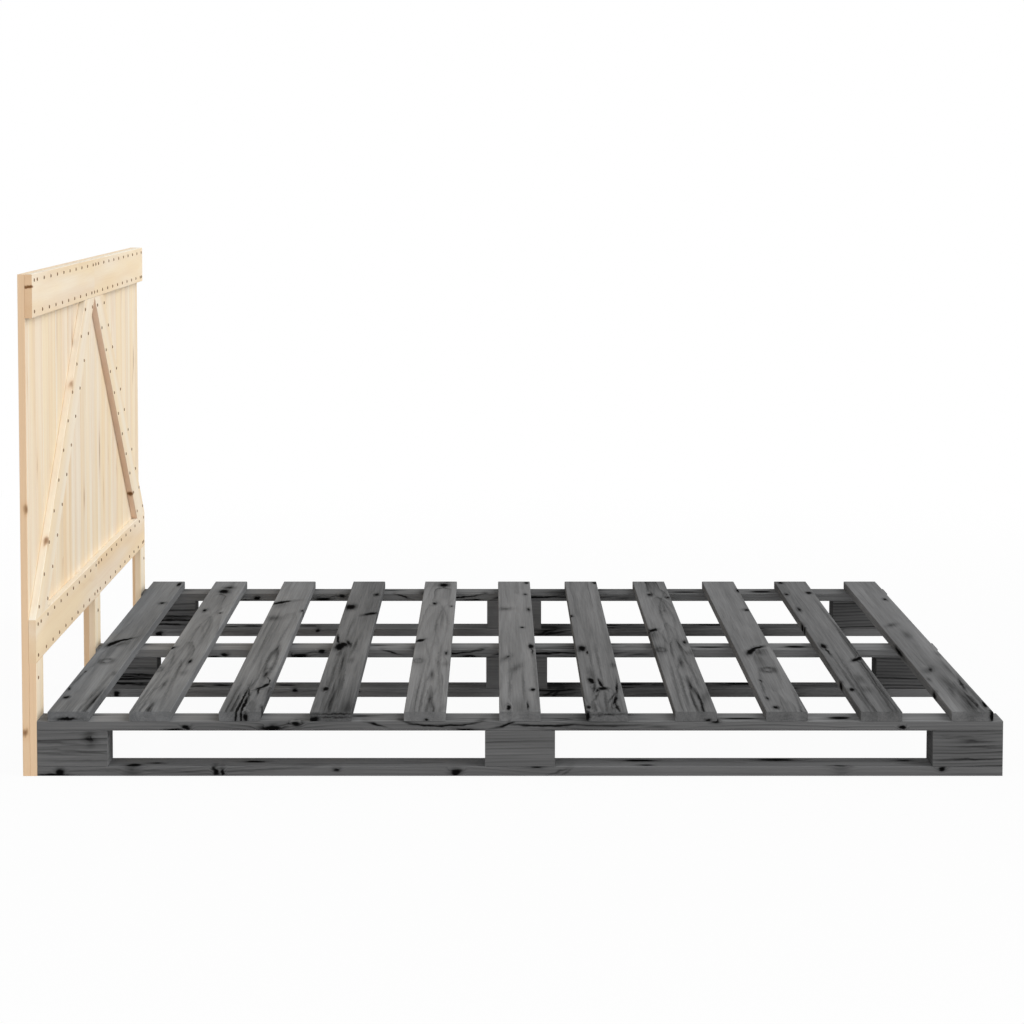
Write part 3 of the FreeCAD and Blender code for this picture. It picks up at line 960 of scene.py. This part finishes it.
def metal(name, colour, roughness, metallic, gloss):
    """Worn metal: cloudy colour, with fine scratches in its gloss."""
    luck = random.Random(name)
    material = bpy.data.materials.new(name)
    nodes = Nodes(material)
    place = nodes.add("ShaderNodeTexCoord", {}, {}, "Object")
    clouds = nodes.noise(place, METAL_CLOUDS, luck, detail=3.0)
    scratch = nodes.noise(place, METAL_SCRATCHES, luck, detail=2.0)
    cloud = nodes.smooth(clouds, *METAL_CLOUD_LEVELS, 0.0, 1.0)
    worn = [channel * METAL_WORN for channel in colour[:3]] + [1.0]
    bump = nodes.add(
        "ShaderNodeBump", {}, {"Strength": METAL_RELIEF, "Distance": METAL_DEPTH, "Height": scratch})
    surface = nodes.add(
        "ShaderNodeBsdfPrincipled", {},
        {
            "Base Color": nodes.mix(cloud, worn, colour),
            "Roughness": roughness + (scratch - MIDDLE_LEVEL) * METAL_GLOSS,
            "Metallic": metallic,
            "Specular IOR Level": gloss,
            "Normal": bump,
        })
    nodes.add("ShaderNodeOutputMaterial", {}, {"Surface": surface})
    return material


def lathed(shape, places, outward, profile, sides):
    """Adds a turned form at each place: profile gives pairs of radius and height along outward."""
    turn = outward.to_track_quat("Z", "Y").to_matrix()
    for place in places:
        rings = []
        for radius, height in profile:
            ring = []
            for side in range(sides):
                angle = 2 * math.pi * side / sides
                spoke = Vector((math.cos(angle) * radius, math.sin(angle) * radius, height))
                ring.append(shape.verts.new(place + turn @ spoke))
            rings.append(ring)
        for lower, upper in zip(rings, rings[1:]):
            for side in range(sides):
                after = (side + 1) % sides
                shape.faces.new((lower[side], lower[after], upper[after], upper[side]))
        shape.faces.new(rings[-1])
        shape.faces.new(list(reversed(rings[0])))


def nail_piece(name, places, sizes, material):
    """One mesh of nail heads on the headboard's face, with low domes and a seat in the wood."""
    radius = sizes.head_radius
    profile = [(radius * NAIL_SEAT, -sizes.seat)]
    profile += [(radius * out, sizes.head_rise * up) for out, up in NAIL_DOME]
    shape = bmesh.new()
    lathed(shape, places, ALONG_X, profile, NAIL_SIDES)
    mesh = bpy.data.meshes.new(name)
    shape.to_mesh(mesh)
    shape.free()
    mesh.materials.append(material)
    mesh.polygons.foreach_set("use_smooth", [True] * len(mesh.polygons))
    piece = bpy.data.objects.new(name, mesh)
    bpy.context.scene.collection.objects.link(piece)
    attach(piece, "root")


def rail_nails(level, sizes):
    """Places of the two rows of nails on a rail that runs in two lengths."""
    low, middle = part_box(f"{level}_rail_near")
    far_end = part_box(f"{level}_rail_far")[1].y
    face = middle.x
    near_end = low.y
    count = round((far_end - near_end) / sizes.pitch)
    joint = sizes.pitch * (count - 1) / 2
    low_row = [near_end + sizes.low_start + sizes.pitch * number for number in range(1, count)]
    low_row.append(far_end - sizes.low_start * LAST_NAIL)
    high_row = [near_end + sizes.high_start + sizes.pitch * number for number in range(count)]
    low_row += [near_end + sizes.end_reach, near_end + sizes.low_start + joint]
    high_row += [near_end + sizes.end_reach, near_end + sizes.high_start + joint]
    rows = ((low.z + sizes.edge_reach, low_row), (middle.z - sizes.edge_reach, high_row))
    return [Vector((face, y, z)) for z, row in rows for y in row]


def brace_corners(side):
    """The box of a brace, and the places along y of its corners at the foot and at the head."""
    low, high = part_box(f"brace_{side}")
    points = [vertex.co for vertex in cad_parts[f"brace_{side}"].data.vertices]
    foot = [point.y for point in points if point.z < low.z + MM]
    head = [point.y for point in points if point.z > high.z - MM]
    return low, high, foot, head


def brace_nails(side, sizes):
    """Places of the pairs of nails along a brace."""
    low, high, foot, head = brace_corners(side)
    places = []
    for number in range(sizes.brace_pairs):
        share = number / (sizes.brace_pairs - 1)
        z = low.z + sizes.brace_margin + share * (high.z - low.z - 2 * sizes.brace_margin)
        climb = (z - low.z) / (high.z - low.z)
        left = min(foot) + climb * (min(head) - min(foot))
        right = max(foot) + climb * (max(head) - max(foot))
        places.append(Vector((high.x, left + sizes.brace_reach, z)))
        places.append(Vector((high.x, right - sizes.brace_reach, z)))
    return places


def leg_nails(sizes):
    """Places of the nail on each leg."""
    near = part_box("leg_near")
    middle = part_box("leg_middle")
    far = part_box("leg_far")
    across = (near[0].y + sizes.leg_reach, (middle[0].y + middle[1].y) / 2, far[1].y - sizes.leg_reach)
    return [Vector((near[1].x, y, sizes.leg_height)) for y in across]


class BED_OT_slats(bpy.types.Operator):
    """Finishes the eleven slats, with the knots and figure of each"""

    bl_idname = "bed.slats"
    bl_label = "Slats"

    def execute(self, context):
        look = context.scene.pallet_bed.grey_pine
        for number, (pattern, *shift, tone) in enumerate(SLATS, 1):
            board = Board(f"slat_{number:02d}", ALONG_Y, ALONG_X)
            across, through, lean, coarse, calm = SLAT_HEARTS[pattern]
            cut = Cut((shift[0], across + shift[1], through), lean, coarse, calm, SLAT_SWAY)
            marks = face_marks(shifted(SLAT_MARKS[pattern], shift))
            marks += ring_marks(shifted(SLAT_RINGS.get(pattern, ()), shift))
            marks += edge_marks(SLAT_EDGE_MARKS.get(number, ()))
            figures = shifted(SLAT_FIGURES[pattern], shift) + [SLAT_END_FIGURE]
            warmth = -SLAT_COOLING * max(0, FIRST_PLAIN_SLAT - number)
            pine(board, look, tone, cut, marks, figures, warmth, SLAT_EDGE_SHARE, SLAT_EDGE_SHARE)
        return {"FINISHED"}


class BED_OT_rows(bpy.types.Operator):
    """Finishes the three rows of bottom board, blocks and stringer under the slats"""

    bl_idname = "bed.rows"
    bl_label = "Rows"

    def execute(self, context):
        look = context.scene.pallet_bed.grey_pine
        for row in ROWS:
            luck = random.Random(row)
            # The middle and far bottom boards take a grain figure with painted shadow.
            painted_shadow_figures = () if row == "near" else FIGURES_WITH_PAINTED_SHADOW
            stringer = Board(f"stringer_{row}", ALONG_X, ALONG_Y)
            marks = face_marks(STRINGER_MARKS) + front_marks(stringer, STRINGER_FRONTS)
            tone, sides = STRINGER_TONES[row]
            cut = Cut((0, luck.uniform(*STRINGER_HEART_ACROSS), STRINGER_HEART_THROUGH))
            pine(stringer, look, tone, cut, marks, STRINGER_FIGURES, sides=sides)
            bottom = Board(f"bottom_board_{row}", ALONG_X, ALONG_Y)
            fronts = NEAR_BOTTOM_FRONTS if row == "near" else SHADED_BOTTOM_FRONTS
            tops = () if row == "near" else SHADED_BOTTOM_MARKS
            marks = face_marks(BOTTOM_MARKS + tops) + front_marks(bottom, BOTTOM_FRONTS + fronts)
            cut = Cut((0, luck.uniform(*BOTTOM_HEART_ACROSS), BOTTOM_HEART_THROUGH))
            pine(bottom, look, BOTTOM_TONES[row], cut, marks, BOTTOM_FIGURES + painted_shadow_figures)
            for station, (bold, coarse, tone) in zip(STATIONS, BLOCK_GRAINS[row]):
                block = Board(f"block_{row}_{station}", ALONG_X, ALONG_Y)
                marks = front_marks(block, BLOCK_FRONTS.get(block.name, ()))
                heart = (0, luck.uniform(*BLOCK_HEART_ACROSS), -luck.uniform(*BLOCK_HEART_BELOW))
                cut = Cut(heart, coarse=coarse)
                whole_block = (0, 0, 400, 400, 0, bold, 0.0)
                # The near head block's sawn end keeps the pale stain: painted light on an end that the
                # stringer and bottom board shade from the key lamp.
                ends = 0.0 if block.name == "block_near_head" else 1.0
                pine(block, look, tone, cut, marks, (whole_block,), ends=ends)
        return {"FINISHED"}


class BED_OT_panel(bpy.types.Operator):
    """Finishes the planks and edge strips at the back of the headboard"""

    bl_idname = "bed.panel"
    bl_label = "Panel"

    def execute(self, context):
        look = context.scene.pallet_bed.natural_pine
        for name in sorted(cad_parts):
            if name.startswith(("plank_", "edge_strip_")):
                board = Board(name, ALONG_Z, ALONG_Y)
                luck = random.Random(name + " panel")
                marks = face_marks(PANEL_MARKS.get(name, ())) + chance_marks(board, luck, most=1)
                marks += edge_marks(PANEL_EDGE_MARKS.get(name, ()))
                cut = chance_cut(luck, spread=40, nearest=25, furthest=70)
                warmth = luck.uniform(*PLANK_WARMTHS)
                tone = luck.uniform(*PLANK_TONES)
                if name.startswith("edge_strip_"):
                    tone -= EDGE_STRIP_SHADE
                pine(board, look, tone, cut, marks, warmth=warmth, ends=PLANK_ENDS)
        return {"FINISHED"}


class BED_OT_rails(bpy.types.Operator):
    """Finishes the rails on the headboard's face"""

    bl_idname = "bed.rails"
    bl_label = "Rails"

    def execute(self, context):
        look = context.scene.pallet_bed.natural_pine
        for level in ("top", "lower"):
            for side in ("near", "far"):
                board = Board(f"{level}_rail_{side}", ALONG_Y, ALONG_Z)
                luck = random.Random(board.name + " rail")
                marks = edge_marks(PANEL_EDGE_MARKS.get(board.name, ()))
                cut = chance_cut(luck, spread=30, nearest=30, furthest=60, calm=HEADBOARD_CALM, side=-1)
                warmth = RAIL_WARMTHS[board.name]
                ends = RAIL_ENDS[level]
                pine(board, look, RAIL_TONE, cut, marks, warmth=warmth, ends=ends, flank=look.planed)
        return {"FINISHED"}


class BED_OT_braces(bpy.types.Operator):
    """Finishes the two braces, with their grain along the slope"""

    bl_idname = "bed.braces"
    bl_label = "Braces"

    def execute(self, context):
        look = context.scene.pallet_bed.natural_pine
        # The far brace's edges take painted bounce light.
        for side, inward, flank in (("near", 1, look.planed), ("far", -1, look.painted_bounce_edges)):
            low, high, foot, head = brace_corners(side)
            run = min(y * inward for y in head) - min(y * inward for y in foot)
            along = Vector((0, run * inward, high.z - low.z)).normalized()
            board = Board(f"brace_{side}", along, ALONG_X.cross(along))
            luck = random.Random(side + " brace")
            marks = edge_marks(BRACE_MARKS[side])
            cut = chance_cut(luck, spread=30, nearest=30, furthest=60, calm=HEADBOARD_CALM, side=-1)
            pine(board, look, BRACE_TONE, cut, marks, flank=flank)
        return {"FINISHED"}


class BED_OT_legs(bpy.types.Operator):
    """Finishes the legs and the strip behind the middle one"""

    bl_idname = "bed.legs"
    bl_label = "Legs"

    def execute(self, context):
        look = context.scene.pallet_bed.natural_pine
        for name in [f"leg_{row}" for row in ROWS] + ["leg_middle_strip"]:
            board = Board(name, ALONG_Z, ALONG_Y)
            luck = random.Random(name + " leg")
            cut = chance_cut(luck, spread=30, nearest=25, furthest=60, calm=HEADBOARD_CALM)
            pine(board, look, LEG_TONE, cut, sides=LEG_SIDES_PAINTED_LIGHTER.get(name, 1.0))
        return {"FINISHED"}


class BED_OT_bolts(bpy.types.Operator):
    """Finishes the flanged bolts in zinc"""

    bl_idname = "bed.bolts"
    bl_label = "Bolts"

    def execute(self, context):
        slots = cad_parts["headboard_bolts"].data.materials
        slots.clear()
        slots.append(metal("zinc_steel", ZINC, roughness=0.38, metallic=1.0, gloss=0.5))
        return {"FINISHED"}


class BED_OT_nails(bpy.types.Operator):
    """Drives the nails into the rails, braces and legs of the headboard"""

    bl_idname = "bed.nails"
    bl_label = "Nails"

    def execute(self, context):
        sizes = context.scene.pallet_bed.nails
        material = metal("dark_nails", sizes.colour, roughness=0.8, metallic=0.0, gloss=0.0)
        nail_piece("top_rail_nails", rail_nails("top", sizes), sizes, material)
        nail_piece("lower_rail_nails", rail_nails("lower", sizes), sizes, material)
        both_braces = brace_nails("near", sizes) + brace_nails("far", sizes)
        nail_piece("brace_nails", both_braces, sizes, material)
        nail_piece("leg_nails", leg_nails(sizes), sizes, material)
        return {"FINISHED"}


def seen_rays(nodes):
    """Is 1 where the camera looks, straight or through gloss and glass."""
    paths = [
        nodes.add("ShaderNodeLightPath", {}, {}, name)
        for name in ("Is Camera Ray", "Is Glossy Ray", "Is Transmission Ray")
    ]
    return paths[0].larger(paths[1]).larger(paths[2])


def add_floor(settings):
    """A plain pale floor that fades to the white background and keeps the bed's shadow."""
    mesh = bpy.data.meshes.new("floor")
    half = 60.0
    drop = -0.0004  # keeps the floor just clear of the boards that stand on it
    shadow_reach = (1.5, 4.5)  # from the bed's middle, where its shadow begins and ends to fade
    corners = [(-half, -half, drop), (half, -half, drop), (half, half, drop), (-half, half, drop)]
    mesh.from_pydata(corners, [], [(0, 1, 2, 3)])
    floor = bpy.data.objects.new("floor", mesh)
    bpy.context.scene.collection.objects.link(floor)
    material = bpy.data.materials.new("floor_paint")
    nodes = Nodes(material)
    place = nodes.add("ShaderNodeTexCoord", {}, {}, "Object")
    white = nodes.smooth(nodes.length(place), *shadow_reach, settings.floor_glow, 1.0)
    paint = nodes.add("ShaderNodeBsdfDiffuse", {}, {"Color": settings.floor_colour})
    glow = nodes.add("ShaderNodeEmission", {}, {"Strength": 1.0})
    surface = nodes.add("ShaderNodeMixShader", {}, {0: white * seen_rays(nodes), 1: paint, 2: glow})
    nodes.add("ShaderNodeOutputMaterial", {}, {"Surface": surface})
    mesh.materials.append(material)


def add_world(settings):
    """Even light from all round, and a white background."""
    world = bpy.data.worlds.new("studio")
    bpy.context.scene.world = world
    nodes = Nodes(world)
    strength = seen_rays(nodes) * (1.0 - settings.ambient) + settings.ambient
    sky = nodes.add(
        "ShaderNodeBackground", {}, {"Color": (1.0, 1.0, 1.0, 1.0), "Strength": strength})
    nodes.add("ShaderNodeOutputWorld", {}, {"Surface": sky})


def add_lamp(name, place, strength, softness):
    """A far soft lamp that looks at the middle of the bed."""
    data = bpy.data.lights.new(name, "SUN")
    data.energy = strength
    data.angle = softness
    lamp = bpy.data.objects.new(name, data)
    lamp.location = place
    lamp.rotation_euler = place.to_track_quat("Z", "Y").to_euler()
    bpy.context.scene.collection.objects.link(lamp)


def add_camera(settings):
    """The camera at the photograph's viewing angle."""
    data = bpy.data.cameras.new("camera")
    data.lens = settings.lens
    data.sensor_width = 36.0
    data.shift_x = settings.shift[0]
    data.shift_y = settings.shift[1]
    data.clip_end = 200.0
    camera = bpy.data.objects.new("camera", data)
    camera.location = settings.eye
    camera.rotation_euler = (math.pi / 2 - settings.pitch, 0, 0)
    bpy.context.scene.collection.objects.link(camera)
    bpy.context.scene.camera = camera


class BED_OT_stage(bpy.types.Operator):
    """Sets up the floor, the lamps, the white background and the camera"""

    bl_idname = "bed.stage"
    bl_label = "Stage"

    def execute(self, context):
        settings = context.scene.pallet_bed.studio
        add_floor(settings)
        add_world(settings)
        add_lamp("key_lamp", KEY_PLACE, settings.key_strength, settings.softness)
        add_lamp("fill_lamp", FILL_PLACE, settings.fill_strength, settings.softness)
        add_camera(settings)
        context.scene.view_settings.view_transform = "Standard"
        return {"FINISHED"}


STEPS = (
    BED_OT_slats, BED_OT_rows, BED_OT_panel, BED_OT_rails, BED_OT_braces, BED_OT_legs, BED_OT_bolts,
    BED_OT_nails, BED_OT_stage,
)


class BED_PT_panel(bpy.types.Panel):
    """Lists the finishes, sizes and steps of the bed"""

    bl_idname = "BED_PT_panel"
    bl_label = "Pallet bed"
    bl_space_type = "VIEW_3D"
    bl_region_type = "UI"
    bl_category = "Pallet bed"

    def draw(self, context):
        bed = context.scene.pallet_bed
        for group in (bed.grey_pine, bed.natural_pine, bed.nails, bed.studio):
            box = self.layout.box()
            box.label(text=group.bl_rna.name)
            for name in group.bl_rna.properties.keys():
                if name not in ("rna_type", "name", "label"):
                    box.prop(group, name)
        for step in STEPS:
            self.layout.operator(step.bl_idname)


CLASSES = (GreyPine, NaturalPine, NailSizes, StudioSettings, PalletBed, *STEPS, BED_PT_panel)


def register():
    """Makes the bed's settings and steps known to Blender."""
    for item in CLASSES:
        bpy.utils.register_class(item)
    bpy.types.Scene.pallet_bed = bpy.props.PointerProperty(type=PalletBed)


def unregister():
    """Takes them out again."""
    del bpy.types.Scene.pallet_bed
    for item in reversed(CLASSES):
        bpy.utils.unregister_class(item)


def main():
    """Dresses the bed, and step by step."""
    register()
    bpy.ops.bed.slats()
    bpy.ops.bed.rows()
    bpy.ops.bed.panel()
    bpy.ops.bed.rails()
    bpy.ops.bed.braces()
    bpy.ops.bed.legs()
    bpy.ops.bed.bolts()
    bpy.ops.bed.nails()
    bpy.ops.bed.stage()


if __name__ == "__main__":
    main()
